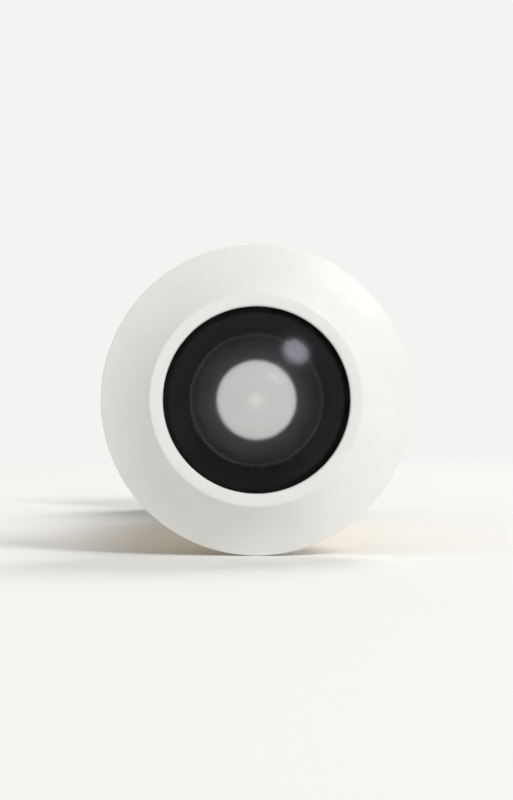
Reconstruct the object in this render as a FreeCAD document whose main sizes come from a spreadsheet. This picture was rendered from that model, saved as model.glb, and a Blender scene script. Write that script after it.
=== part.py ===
"""Door viewer for a thick security door, built as its loose pieces.

The outer half is a barrel with a round coated flange that carries the wide-angle lenses. The inner half is a
barrel with a knurled flange, an eyepiece lens and a swinging cover. It screws into the outer half, so that the
two flanges clamp doors of different thickness.

Frame: the optical axis is Y, +Y points into the room, +Z is up. The origin lies on that axis, in the plane
where the outer gasket meets the outside face of the door. Lengths are millimetres, angles are degrees.
"""

import FreeCAD, Part
import math
import os

import Sketcher

# Driving sizes: alias, value, what it is.
SIZES = [
    # The door and the screw that adjusts the viewer to it
    ("door_thickness", 67.0, "door that the viewer is set for, outside face to inside face"),
    ("thickest_door", 80.0, "thickest door that still leaves enough thread in mesh"),
    ("least_mesh", 6.0, "length of the inner tube inside the outer barrel on the thickest door"),
    ("screw_travel", 25.0, "thickest door less the thinnest"),
    ("thread_pitch", 1.5, "advance of the screw in one turn"),
    ("thread_diameter", 11.9, "crest to crest of the outside thread"),
    ("thread_depth", 0.6, "height of one thread ridge"),
    ("thread_crest", 0.35, "width of the flat on top of a ridge"),
    ("thread_play", 0.15, "radial gap between the two threads"),
    ("thread_runout", 0.6, "plain length between a thread and the end of its barrel"),
    # Outer barrel and its flange
    ("barrel_diameter", 14.0, "outside of the outer barrel, for a 15 mm hole"),
    ("barrel_length", 44.0, "outer barrel, from the door's outside face"),
    ("nut_length", 12.0, "stretch of the outer barrel that has the inside thread"),
    ("relief_gap", 0.2, "radial gap over the thread crests behind the nut stretch"),
    ("flange_diameter", 22.0, "outer flange"),
    ("flange_height", 3.4, "outer flange, from its back to its lip"),
    ("rim_height", 0.9, "straight edge of the outer flange"),
    ("flange_crown", 9.0, "radius of the flange's rounded face"),
    ("lip_land", 0.9, "flat ring between the flange's rounded face and its opening"),
    ("opening_diameter", 13.0, "flange opening that frames the front lens"),
    ("lip_thickness", 0.45, "lip rolled over the front lens"),
    ("shoulder_thickness", 0.6, "inward shoulder under the front lens"),
    ("gasket_thickness", 0.8, "both door gaskets"),
    ("gasket_margin", 0.75, "gasket edge inside the flange edge"),
    # Front lens and its seal
    ("lip_overlap", 0.35, "how far the lip reaches over the front lens's pocket"),
    ("front_lens_edge", 1.15, "front lens at its edge"),
    ("front_dome_radius", 10.0, "outside curve of the front lens"),
    ("front_hollow_radius", 5.2, "inside curve of the front lens"),
    ("seal_thickness", 0.6, "black seal under the front lens"),
    # Lens cell with the two smaller lenses
    ("cell_diameter", 10.3, "body of the lens cell"),
    ("cell_wall", 0.5, "wall of the lens cell round its lenses"),
    ("cell_step", 0.6, "step from the cell's body in to its nose, which passes through the shoulder"),
    ("cell_stop_width", 0.95, "rim in the cell's nose that the second lens lies on"),
    ("cell_stop_thickness", 0.6, "same rim"),
    ("second_lens_edge", 2.4, "second lens at its edge"),
    ("second_lens_centre", 0.7, "second lens on the axis"),
    ("second_lens_land", 0.8, "flat edge ring round the second lens's hollow"),
    ("spacer_length", 1.6, "spacer ring between the small lenses"),
    ("spacer_wall", 0.8, "wall of the spacer ring"),
    ("third_lens_edge", 2.4, "third lens at its edge"),
    ("third_hollow_radius", 11.0, "both curves of the third lens"),
    ("third_lens_land", 1.0, "flat edge ring round the third lens's hollows"),
    ("snap_ring_wire", 0.6, "thickness of the snap ring"),
    ("snap_ring_depth", 0.3, "depth of the snap ring's groove in the cell"),
    ("snap_ring_angle", 325.0, "arc of the snap ring, which is open for the rest of the circle"),
    ("cell_lip", 0.7, "cell wall behind the snap ring's groove"),
    ("lock_ring_length", 1.6, "ring that locks the cell in the barrel"),
    ("lock_ring_wall", 1.15, "ring that locks the cell in the barrel"),
    # Inner barrel with the eyepiece
    ("tube_bore", 8.4, "light tube through the inner barrel"),
    ("shank_diameter", 13.2, "inner barrel under its flange"),
    ("shank_length", 13.1, "thick part of the inner barrel, to the back of its flange"),
    ("inner_flange_diameter", 20.0, "knurled flange"),
    ("inner_flange_thickness", 2.8, "knurled flange"),
    ("inner_flange_bevel", 0.5, "bevel on both edges of the knurled flange"),
    ("knurl_width", 0.8, "one groove of the knurl"),
    ("knurl_depth", 0.35, "one groove of the knurl"),
    ("knurl_grooves", 40.0, "grooves round the flange"),
    ("coin_slot_width", 2.2, "two slots for a coin"),
    ("coin_slot_depth", 1.0, "two slots for a coin"),
    ("eyepiece_step", 0.45, "step from the light tube out to the eyepiece's seat"),
    ("eyepiece_edge", 1.3, "eyepiece lens at its edge"),
    ("eyepiece_radius", 31.0, "rounded face of the eyepiece lens"),
    ("eyepiece_land", 0.4, "flat edge ring of the eyepiece lens, under the retainer"),
    ("field_stop_thickness", 0.8, "black stop in front of the eyepiece lens"),
    ("field_stop_width", 1.1, "black stop in front of the eyepiece lens"),
    ("retainer_length", 1.8, "ring that holds the eyepiece lens"),
    ("retainer_width", 1.0, "ring that holds the eyepiece lens"),
    ("retainer_undercut", 0.25, "room over the rounded face of the eyepiece lens"),
    ("spanner_slot_width", 0.9, "slots of both threaded rings"),
    ("spanner_slot_depth", 0.7, "slots of both threaded rings"),
    ("eye_bevel", 0.6, "bevel round the eyepiece opening"),
    # Rosette on the room side
    ("rosette_diameter", 24.0, "rosette"),
    ("rosette_thickness", 1.8, "rosette"),
    ("rosette_rim", 0.7, "straight edge of the rosette"),
    ("rosette_slope", 1.5, "width of the rosette's sloping edge"),
    ("slip_washer_diameter", 18.0, "slip washer"),
    ("slip_washer_thickness", 0.5, "slip washer"),
    ("shank_gap", 0.4, "radial gap round the shank, for rosette, washer and gasket"),
    # Cover, its pivot and its stop
    ("pivot_height", 7.0, "pivot above the optical axis"),
    ("cover_diameter", 10.8, "round of the cover that closes the eyepiece"),
    ("cover_ear_diameter", 5.6, "ear of the cover, round its pivot"),
    ("cover_thickness", 1.2, "plate of the cover"),
    ("cover_dome_height", 0.7, "dome pressed in the cover"),
    ("cover_dome_diameter", 9.0, "dome pressed in the cover"),
    ("cover_open_angle", 92.0, "swing of the cover from shut to open"),
    ("rivet_diameter", 2.0, "shank of the pivot rivet"),
    ("rivet_head_diameter", 4.0, "head of the pivot rivet"),
    ("rivet_head_height", 0.9, "head of the pivot rivet"),
    ("rivet_depth", 1.8, "rivet shank and stop pin in the flange"),
    ("pivot_washer_thickness", 0.3, "nylon washer under the cover"),
    ("disc_spring_diameter", 4.4, "disc spring on the cover"),
    ("disc_spring_sheet", 0.2, "sheet of the disc spring"),
    ("disc_spring_height", 0.45, "disc spring, flattened by the rivet"),
    ("stop_pin_diameter", 0.8, "pin that limits the cover's swing"),
    ("stop_pin_reach", 2.45, "stop pin from the pivot"),
    ("stop_pin_gap", 0.1, "room between the stop pin and what it passes: the notch's bottom and the washer"),
    ("swing_ease_angle", 1.0, "turn left at each end of the cover's swing before the pin touches, in degrees"),
    # Small gaps
    ("seat_gap", 0.05, "radial gap of a piece in its seat"),
    ("press_gap", 0.01, "radial gap of a pressed pin in its hole"),
    ("running_gap", 0.05, "radial gap of the cover round its rivet"),
    ("face_gap", 0.02, "gap between faces that slide on each other"),
]

FLANK_ANGLE = 30.0  # flank of a thread ridge, from the radial direction
RIDGE_ROOT = 0.1  # how far a thread ridge reaches into the wall that carries it


class Size:
    """A length with its number and the spreadsheet formula that gives it, so that sketches follow the sheet."""

    def __init__(self, number, formula=None):
        self.number = number
        self.formula = formula or repr(number)

    def __add__(self, other):
        other = as_size(other)
        return Size(self.number + other.number, f"({self.formula} + {other.formula})")

    def __sub__(self, other):
        other = as_size(other)
        return Size(self.number - other.number, f"({self.formula} - {other.formula})")

    def __mul__(self, other):
        other = as_size(other)
        return Size(self.number * other.number, f"({self.formula} * {other.formula})")

    def __truediv__(self, other):
        other = as_size(other)
        return Size(self.number / other.number, f"({self.formula} / {other.formula})")

    def __neg__(self):
        return Size(-self.number, f"(-1 * {self.formula})")

    def root(self):
        return Size(math.sqrt(self.number), f"sqrt({self.formula})")


def as_size(value):
    return value if isinstance(value, Size) else Size(value)


def fill_sheet(doc):
    """Writes the driving sizes into the document's spreadsheet and returns them by alias."""
    sheet = doc.addObject("Spreadsheet::Sheet", "Sizes")
    sizes = {}
    for row, (alias, number, meaning) in enumerate(SIZES, 1):
        sheet.set(f"A{row}", meaning)
        sheet.set(f"B{row}", str(number))
        sheet.setAlias(f"B{row}", alias)
        sizes[alias] = Size(number, f"Sizes.{alias}")
    doc.recompute()
    return sizes


doc = FreeCAD.newDocument("DoorViewer")
S = fill_sheet(doc)
ORIGIN = Size(0.0)


# Tools for the pieces


def new_body(label):
    body = doc.addObject("PartDesign::Body", label)
    body.Label = label
    return body


def origin_element(body, role):
    """One of the body's own planes or axes."""
    return next(f for f in body.Origin.OriginFeatures if f.Role == role)


def arc_between(start, end, radius, bulge_left):
    """The arc from start to end, under a half circle, that bulges to its left or its right."""
    chord = end - start
    middle = (start + end) * 0.5
    left = FreeCAD.Vector(-chord.y, chord.x, 0).normalize()
    side = left if bulge_left else -left
    to_centre = math.sqrt(max(radius**2 - (chord.Length / 2) ** 2, 0.0))
    top = middle + side * (radius - to_centre)
    return Part.ArcOfCircle(start, top, end)


def pin_point(sketch, edge, end, across, along):
    """Holds one end of a sketch's edge at its place."""
    for kind, value, axis in (("DistanceX", across, -2), ("DistanceY", along, -1)):
        if value is ORIGIN:
            sketch.addConstraint(Sketcher.Constraint("PointOnObject", edge, end, axis))
        else:
            number = sketch.addConstraint(Sketcher.Constraint(kind, edge, end, value.number))
            sketch.setExpression(f"Constraints[{number}]", value.formula)


def pin_radius(sketch, edge, radius):
    """Holds the radius of a sketch's arc or circle."""
    number = sketch.addConstraint(Sketcher.Constraint("Radius", edge, radius.number))
    sketch.setExpression(f"Constraints[{number}]", radius.formula)


def draw_outline(body, name, corners, plane="XY_Plane"):
    """A closed sketch through the corners (across, along).

    A corner may add (radius, bulge_left) for an arc to the next corner. FreeCAD stores an arc anticlockwise,
    so the two ends of an arc that bulges to the left are the other way round.
    """
    sketch = body.newObject("Sketcher::SketchObject", name)
    sketch.AttachmentSupport = (origin_element(body, plane), [""])
    sketch.MapMode = "FlatFace"
    points = [FreeCAD.Vector(corner[0].number, corner[1].number, 0) for corner in corners]
    ends = []
    for index, corner in enumerate(corners):
        start, end = points[index], points[(index + 1) % len(points)]
        if len(corner) == 2:
            sketch.addGeometry(Part.LineSegment(start, end), False)
            ends.append((1, 2))
        else:
            radius, bulge_left = corner[2]
            sketch.addGeometry(arc_between(start, end, radius.number, bulge_left), False)
            ends.append((2, 1) if bulge_left else (1, 2))
    for index in range(len(corners)):
        after = (index + 1) % len(corners)
        sketch.addConstraint(Sketcher.Constraint("Coincident", index, ends[index][1], after, ends[after][0]))
    for index, corner in enumerate(corners):
        pin_point(sketch, index, ends[index][0], corner[0], corner[1])
        if len(corner) == 3:
            pin_radius(sketch, index, corner[2][0])
    return sketch


def draw_circle(body, name, across, along, radius, plane="XZ_Plane"):
    """A sketch with one circle."""
    sketch = body.newObject("Sketcher::SketchObject", name)
    sketch.AttachmentSupport = (origin_element(body, plane), [""])
    sketch.MapMode = "FlatFace"
    centre = FreeCAD.Vector(across.number, along.number, 0)
    sketch.addGeometry(Part.Circle(centre, FreeCAD.Vector(0, 0, 1), radius.number), False)
    pin_point(sketch, 0, 3, across, along)
    pin_radius(sketch, 0, radius)
    return sketch


def lathe(label, corners, turn=Size(360.0)):
    """A piece turned about the Y axis from its outline of (radius, along) corners."""
    body = new_body(label)
    profile = draw_outline(body, label + "_profile", corners)
    revolution = body.newObject("PartDesign::Revolution", label + "_turned")
    revolution.Profile = profile
    revolution.ReferenceAxis = (profile, ["V_Axis"])
    revolution.Midplane = turn.number < 360.0
    revolution.setExpression("Angle", turn.formula)
    return body


def ring(label, inner, outer, start, end):
    """A plain ring about the Y axis."""
    return lathe(label, [(inner, start), (outer, start), (outer, end), (inner, end)])


def pocket(body, sketch, depth, start):
    """Cuts a sketch on the XZ plane into the body, from start on along +Y and depth long."""
    sketch.setExpression("AttachmentOffset.Base.z", (-start).formula)
    cut = body.newObject("PartDesign::Pocket", sketch.Name + "_cut")
    cut.Profile = sketch
    cut.setExpression("Length", depth.formula)
    cut.Reversed = False
    return cut


def repeat_round(body, feature, count):
    """Repeats a feature of the body round the Y axis."""
    pattern = body.newObject("PartDesign::PolarPattern", feature.Name + "_round")
    pattern.Originals = [feature]
    pattern.Axis = (origin_element(body, "Y_Axis"), [""])
    pattern.Angle = 360.0
    pattern.setExpression("Occurrences", count.formula)
    body.Tip = pattern
    return pattern


def thread_ridge(body, root, crest, start, height):
    """A right-hand helical ridge on the body, from its root radius to its crest radius."""
    outwards = 1.0 if crest.number > root.number else -1.0
    slope = math.tan(math.radians(FLANK_ANGLE))
    half_crest = S["thread_crest"] / 2
    half_base = half_crest + (S["thread_depth"] + RIDGE_ROOT) * slope
    base = root - RIDGE_ROOT * outwards
    corners = [
        (base, start - half_base),
        (base, start + half_base),
        (crest, start + half_crest),
        (crest, start - half_crest),
    ]
    section = draw_outline(body, body.Name + "_thread_section", corners)
    thread = body.newObject("PartDesign::AdditiveHelix", body.Name + "_thread")
    thread.Profile = section
    thread.ReferenceAxis = (section, ["V_Axis"])
    thread.Mode = 0
    thread.setExpression("Pitch", S["thread_pitch"].formula)
    thread.setExpression("Height", height.formula)
    thread.Angle = 0.0
    thread.Growth = 0.0
    return thread


def place(body, height, turn=None):
    """Moves a body up to a height over the optical axis, and turns it about its own Y axis."""
    body.setExpression("Placement.Base.z", height.formula)
    if turn is not None:
        body.Placement = FreeCAD.Placement(
            FreeCAD.Vector(0, 0, height.number),
            FreeCAD.Rotation(FreeCAD.Vector(0, 1, 0), turn.number),
        )
        body.setExpression("Placement.Rotation.Angle", turn.formula)


# Radii and places that several pieces share

barrel_r = S["barrel_diameter"] / 2
male_crest_r = S["thread_diameter"] / 2
male_root_r = male_crest_r - S["thread_depth"]
female_root_r = male_crest_r + S["thread_play"]
female_crest_r = male_root_r + S["thread_play"]
relief_r = male_crest_r + S["relief_gap"]
cell_r = S["cell_diameter"] / 2
cell_seat_r = cell_r + S["seat_gap"]
small_lens_seat_r = cell_r - S["cell_wall"]
small_lens_r = small_lens_seat_r - S["seat_gap"]
nose_r = cell_r - S["cell_step"]
nose_hole_r = nose_r + S["seat_gap"]
opening_r = S["opening_diameter"] / 2
lens_pocket_r = opening_r + S["lip_overlap"]
front_lens_r = lens_pocket_r - S["seat_gap"]

flange_back = -S["gasket_thickness"]
flange_front = flange_back - S["flange_height"]
lip_back = flange_front + S["lip_thickness"]
front_lens_back = lip_back + S["front_lens_edge"]
shoulder_front = front_lens_back + S["seal_thickness"]
shoulder_back = shoulder_front + S["shoulder_thickness"]
second_lens_front = shoulder_back + S["cell_stop_thickness"]
second_lens_back = second_lens_front + S["second_lens_edge"]
third_lens_front = second_lens_back + S["spacer_length"]
third_lens_back = third_lens_front + S["third_lens_edge"]
snap_ring_back = third_lens_back + S["snap_ring_wire"]
cell_back = snap_ring_back + S["cell_lip"]
lock_ring_back = cell_back + S["lock_ring_length"]

nut_front = S["barrel_length"] - S["nut_length"]
thinnest_door = S["thickest_door"] - S["screw_travel"]
tube_front = S["barrel_length"] - S["least_mesh"] - (S["thickest_door"] - S["door_thickness"])
travel_inwards = S["door_thickness"] - thinnest_door
relief_front = tube_front - travel_inwards - S["thread_pitch"]

rosette_back = S["door_thickness"] + S["gasket_thickness"]
rosette_front = rosette_back + S["rosette_thickness"]
slip_washer_front = rosette_front + S["slip_washer_thickness"]
inner_flange_back = slip_washer_front + S["face_gap"]
inner_flange_front = inner_flange_back + S["inner_flange_thickness"]
shank_front = inner_flange_back - S["shank_length"]
shank_r = S["shank_diameter"] / 2
shank_hole_r = shank_r + S["shank_gap"]

tube_r = S["tube_bore"] / 2
eyepiece_seat_r = tube_r + S["eyepiece_step"]
eyepiece_r = eyepiece_seat_r - S["seat_gap"]
retainer_front = inner_flange_front - S["eye_bevel"] - S["spanner_slot_depth"]
retainer_back = retainer_front - S["retainer_length"]
eyepiece_back = retainer_back - S["eyepiece_edge"]
eyepiece_seat = eyepiece_back - S["field_stop_thickness"]

male_thread_start = tube_front + S["thread_runout"] + S["thread_pitch"] / 2
male_thread_height = shank_front - S["thread_runout"] - S["thread_pitch"] / 2 - male_thread_start
# The two ridges lie half a pitch apart, so that each runs in the middle of the other's groove.
turns_to_nut = math.ceil((nut_front.number - male_thread_start.number) / S["thread_pitch"].number)
female_thread_start = male_thread_start + S["thread_pitch"] * (turns_to_nut + 0.5)
female_thread_height = S["barrel_length"] - S["thread_runout"] - S["thread_pitch"] / 2 - female_thread_start


def sagitta(radius, mouth_r):
    """Depth of a spherical curve over a mouth of the given radius."""
    return radius - (radius * radius - mouth_r * mouth_r).root()


# Outer half, fixed in the door


def outer_barrel():
    """Turned brass: flange, lens pocket, cell bore, thread relief and nut, in one piece."""
    flange_r = S["flange_diameter"] / 2
    end = S["barrel_length"]
    end_bevel = (barrel_r - female_root_r) / 3
    body = lathe(
        "outer_barrel",
        [
            (opening_r, flange_front + S["lip_thickness"] / 2),
            (opening_r, lip_back),
            (lens_pocket_r, lip_back),
            (lens_pocket_r, shoulder_front),
            (nose_hole_r, shoulder_front),
            (nose_hole_r, shoulder_back),
            (cell_seat_r, shoulder_back),
            (cell_seat_r, lock_ring_back),
            (relief_r, relief_front),
            (relief_r, nut_front),
            (female_root_r, nut_front),
            (female_root_r, end),
            (barrel_r - end_bevel, end),
            (barrel_r, end - end_bevel),
            (barrel_r, flange_back),
            (flange_r, flange_back),
            (flange_r, flange_back - S["rim_height"], (S["flange_crown"], False)),
            (opening_r + S["lip_land"], flange_front),
            (opening_r + S["lip_thickness"] / 2, flange_front),
        ],
    )
    thread_ridge(body, female_root_r, female_crest_r, female_thread_start, female_thread_height)
    return body


def outer_gasket():
    """Rubber ring between the outer flange and the door."""
    outer = S["flange_diameter"] / 2 - S["gasket_margin"]
    return ring("outer_gasket", barrel_r + S["seat_gap"], outer, flange_back, ORIGIN)


def front_lens():
    """Large outside lens: a dome in front and a deep hollow behind."""
    dome_r = opening_r - S["seat_gap"]
    dome_top = lip_back - sagitta(S["front_dome_radius"], dome_r)
    hollow_top = front_lens_back - sagitta(S["front_hollow_radius"], nose_hole_r)
    return lathe(
        "front_lens",
        [
            (ORIGIN, hollow_top, (S["front_hollow_radius"], False)),
            (nose_hole_r, front_lens_back),
            (front_lens_r, front_lens_back),
            (front_lens_r, lip_back),
            (dome_r, lip_back, (S["front_dome_radius"], True)),
            (ORIGIN, dome_top),
        ],
    )


def lens_seal():
    """Black rubber ring that the front lens is pressed on."""
    return ring("lens_seal", nose_hole_r, front_lens_r, front_lens_back, shoulder_front)


def objective_cell():
    """Black moulded sleeve that holds the two small lenses behind a conical nose."""
    nose_front = front_lens_back + S["seat_gap"]
    stop_r = small_lens_seat_r - S["cell_stop_width"]
    groove_r = small_lens_seat_r + S["snap_ring_depth"]
    return lathe(
        "objective_cell",
        [
            (nose_r - S["seat_gap"] * 2, nose_front),
            (nose_r, nose_front),
            (nose_r, shoulder_back),
            (cell_r, shoulder_back),
            (cell_r, cell_back),
            (small_lens_seat_r, cell_back),
            (small_lens_seat_r, snap_ring_back),
            (groove_r, snap_ring_back),
            (groove_r, third_lens_back),
            (small_lens_seat_r, third_lens_back),
            (small_lens_seat_r, second_lens_front),
            (stop_r, second_lens_front),
            (stop_r, second_lens_front - S["seat_gap"] * 2),
        ],
    )


def second_lens():
    """Small lens with a flat front and a hollow back."""
    hollow_r = small_lens_r - S["second_lens_land"]
    depth = S["second_lens_edge"] - S["second_lens_centre"]
    curve = (hollow_r * hollow_r + depth * depth) / (depth * 2)
    return lathe(
        "second_lens",
        [
            (ORIGIN, second_lens_front),
            (small_lens_r, second_lens_front),
            (small_lens_r, second_lens_back),
            (hollow_r, second_lens_back, (curve, True)),
            (ORIGIN, second_lens_back - depth),
        ],
    )


def lens_spacer():
    """Black ring that keeps the small lenses apart."""
    inner = small_lens_r - S["spacer_wall"]
    return ring("lens_spacer", inner, small_lens_r, second_lens_back, third_lens_front)


def third_lens():
    """Small lens that is hollow on both sides."""
    hollow_r = small_lens_r - S["third_lens_land"]
    depth = sagitta(S["third_hollow_radius"], hollow_r)
    return lathe(
        "third_lens",
        [
            (ORIGIN, third_lens_front + depth, (S["third_hollow_radius"], True)),
            (hollow_r, third_lens_front),
            (small_lens_r, third_lens_front),
            (small_lens_r, third_lens_back),
            (hollow_r, third_lens_back, (S["third_hollow_radius"], True)),
            (ORIGIN, third_lens_back - depth),
        ],
    )


def lens_snap_ring():
    """Open spring ring that clicks into the cell's groove and holds the small lenses."""
    outer = small_lens_seat_r + S["snap_ring_depth"] - S["seat_gap"]
    inner = small_lens_r - S["spacer_wall"]
    corners = [
        (inner, third_lens_back),
        (outer, third_lens_back),
        (outer, snap_ring_back),
        (inner, snap_ring_back),
    ]
    return lathe("lens_snap_ring", corners, S["snap_ring_angle"])


def spanner_slots(body, outer_r, front):
    """Two slots across a ring's front face, for a pin spanner."""
    half = S["spanner_slot_width"] / 2
    outer = outer_r + S["spanner_slot_width"]
    corners = [(-outer, -half), (outer, -half), (outer, half), (-outer, half)]
    slots = draw_outline(body, body.Name + "_slots", corners, plane="XZ_Plane")
    return pocket(body, slots, S["spanner_slot_depth"], front - S["spanner_slot_depth"])


def cell_lock_ring():
    """Ring that is screwed in behind the cell and locks it against the shoulder."""
    body = ring("cell_lock_ring", cell_r - S["lock_ring_wall"], cell_r, cell_back, lock_ring_back)
    spanner_slots(body, cell_r, lock_ring_back)
    return body


# Rosette, pressed on the inside face of the door


def rosette_gasket():
    """Rubber ring between the rosette and the door."""
    outer = S["rosette_diameter"] / 2 - S["gasket_margin"]
    return ring("rosette_gasket", shank_hole_r, outer, S["door_thickness"], rosette_back)


def inner_rosette():
    """Coated ring that hides the edge of the hole on the room side."""
    outer = S["rosette_diameter"] / 2
    seat_r = outer - S["rosette_slope"]
    return lathe(
        "inner_rosette",
        [
            (shank_hole_r, rosette_back),
            (outer, rosette_back),
            (outer, rosette_back + S["rosette_rim"]),
            (seat_r, rosette_front),
            (shank_hole_r, rosette_front),
        ],
    )


def slip_washer():
    """Nylon washer that lets the knurled flange turn without turning the rosette."""
    outer = S["slip_washer_diameter"] / 2
    return ring("slip_washer", shank_hole_r, outer, rosette_front, slip_washer_front)


# Inner half, screwed into the outer half


def inner_barrel():
    """Turned brass: threaded light tube, shank, eyepiece seat and knurled flange, in one piece."""
    flange_r = S["inner_flange_diameter"] / 2
    bevel = S["inner_flange_bevel"]
    tip = S["thread_runout"] / 2
    body = lathe(
        "inner_barrel",
        [
            (tube_r, tube_front),
            (male_root_r - tip, tube_front),
            (male_root_r, tube_front + tip),
            (male_root_r, shank_front),
            (shank_r - tip, shank_front),
            (shank_r, shank_front + tip),
            (shank_r, inner_flange_back),
            (flange_r - bevel, inner_flange_back),
            (flange_r, inner_flange_back + bevel),
            (flange_r, inner_flange_front - bevel),
            (flange_r - bevel, inner_flange_front),
            (eyepiece_seat_r + S["eye_bevel"], inner_flange_front),
            (eyepiece_seat_r, inner_flange_front - S["eye_bevel"]),
            (eyepiece_seat_r, eyepiece_seat),
            (tube_r, eyepiece_seat),
        ],
    )
    # The V of a groove goes on as far past the rim as it goes in, so it is twice as wide out there.
    groove_in = flange_r - S["knurl_depth"]
    groove_out = flange_r + S["knurl_depth"]
    corners = [(groove_in, ORIGIN), (groove_out, -S["knurl_width"]), (groove_out, S["knurl_width"])]
    groove = draw_outline(body, "knurl_groove", corners, plane="XZ_Plane")
    cut = pocket(body, groove, S["inner_flange_thickness"], inner_flange_back)
    doc.recompute()
    repeat_round(body, cut, S["knurl_grooves"])
    half = S["coin_slot_width"] / 2
    slot_in = eyepiece_seat_r + S["eye_bevel"] + S["eye_bevel"]
    for name, side in (("coin_slot_left", -1.0), ("coin_slot_right", 1.0)):
        near, far = slot_in * side, groove_out * side
        corners = [(near, -half), (far, -half), (far, half), (near, half)]
        slot = draw_outline(body, name, corners, plane="XZ_Plane")
        pocket(body, slot, S["coin_slot_depth"], inner_flange_front - S["coin_slot_depth"])
    hole = draw_circle(body, "rivet_hole", ORIGIN, S["pivot_height"], S["rivet_diameter"] / 2 + S["press_gap"])
    pocket(body, hole, S["rivet_depth"], inner_flange_front - S["rivet_depth"])
    across, height = stop_pin_place()
    hole = draw_circle(body, "stop_pin_hole", across, height, S["stop_pin_diameter"] / 2 + S["press_gap"])
    pocket(body, hole, S["rivet_depth"], inner_flange_front - S["rivet_depth"])
    thread_ridge(body, male_root_r, male_crest_r, male_thread_start, male_thread_height)
    return body


def field_stop():
    """Black ring that trims the picture in front of the eyepiece lens."""
    return ring("field_stop", eyepiece_r - S["field_stop_width"], eyepiece_r, eyepiece_seat, eyepiece_back)


def eyepiece_lens():
    """Lens next to the eye: flat towards the tube, gently rounded towards the room."""
    dome_r = eyepiece_r - S["eyepiece_land"]
    top = retainer_back + sagitta(S["eyepiece_radius"], dome_r)
    return lathe(
        "eyepiece_lens",
        [
            (ORIGIN, eyepiece_back),
            (eyepiece_r, eyepiece_back),
            (eyepiece_r, retainer_back),
            (dome_r, retainer_back, (S["eyepiece_radius"], False)),
            (ORIGIN, top),
        ],
    )


def eyepiece_retainer():
    """Threaded ring that holds the eyepiece lens, with an undercut over its rounded face."""
    bore_r = eyepiece_r - S["retainer_width"]
    step_r = eyepiece_r - S["eyepiece_land"]
    body = lathe(
        "eyepiece_retainer",
        [
            (bore_r, retainer_back + S["retainer_undercut"]),
            (step_r, retainer_back + S["retainer_undercut"]),
            (step_r, retainer_back),
            (eyepiece_r, retainer_back),
            (eyepiece_r, retainer_front),
            (bore_r + S["retainer_undercut"], retainer_front),
            (bore_r, retainer_front - S["retainer_undercut"]),
        ],
    )
    spanner_slots(body, eyepiece_r, retainer_front)
    return body


# Cover, pivot and stop

washer_front = inner_flange_front + S["pivot_washer_thickness"]
cover_back = washer_front + S["face_gap"]
cover_front = cover_back + S["cover_thickness"]
spring_back = cover_front + S["face_gap"]
rivet_head_back = spring_back + S["disc_spring_height"]
stop_notch_r = S["stop_pin_reach"] - S["stop_pin_diameter"] / 2 - S["stop_pin_gap"]


def stop_pin_place():
    """(across, height) of the stop pin: the notch in the ear swings past it from one end to the other."""
    lean = S["cover_open_angle"] / 2
    across = Size(
        -S["stop_pin_reach"].number * math.sin(math.radians(lean.number)),
        f"(-1 * {S['stop_pin_reach'].formula} * sin({lean.formula}))",
    )
    rise = Size(
        S["stop_pin_reach"].number * math.cos(math.radians(lean.number)),
        f"({S['stop_pin_reach'].formula} * cos({lean.formula}))",
    )
    return across, S["pivot_height"] + rise


def pivot_rivet():
    """Rivet that the cover turns on."""
    shank = S["rivet_diameter"] / 2
    head = S["rivet_head_diameter"] / 2
    rise = S["rivet_head_height"]
    curve = (head * head + rise * rise) / (rise * 2)
    body = lathe(
        "pivot_rivet",
        [
            (ORIGIN, inner_flange_front - S["rivet_depth"]),
            (shank, inner_flange_front - S["rivet_depth"]),
            (shank, rivet_head_back),
            (head, rivet_head_back, (curve, False)),
            (ORIGIN, rivet_head_back + rise),
        ],
    )
    place(body, S["pivot_height"])
    return body


def pivot_washer():
    """Nylon washer between the cover and the knurled flange."""
    hole = S["rivet_diameter"] / 2 + S["running_gap"]
    body = ring("pivot_washer", hole, stop_notch_r, inner_flange_front, washer_front)
    place(body, S["pivot_height"])
    return body


def pivot_spring():
    """Disc spring under the rivet head, whose push holds the cover where it is put."""
    hole = S["rivet_diameter"] / 2 + S["running_gap"]
    outer = S["disc_spring_diameter"] / 2
    sheet = S["disc_spring_sheet"]
    body = lathe(
        "pivot_spring",
        [
            (hole, rivet_head_back - sheet),
            (outer, spring_back),
            (outer, spring_back + sheet),
            (hole, rivet_head_back),
        ],
    )
    place(body, S["pivot_height"])
    return body


def cover_stop_pin():
    """Pin in the knurled flange that ends the cover's swing at both sides."""
    radius = S["stop_pin_diameter"] / 2
    base = inner_flange_front - S["rivet_depth"]
    body = lathe(
        "cover_stop_pin",
        [(ORIGIN, base), (radius, base), (radius, cover_front), (ORIGIN, cover_front)],
    )
    across, height = stop_pin_place()
    place(body, height)
    body.setExpression("Placement.Base.x", across.formula)
    return body


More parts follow.
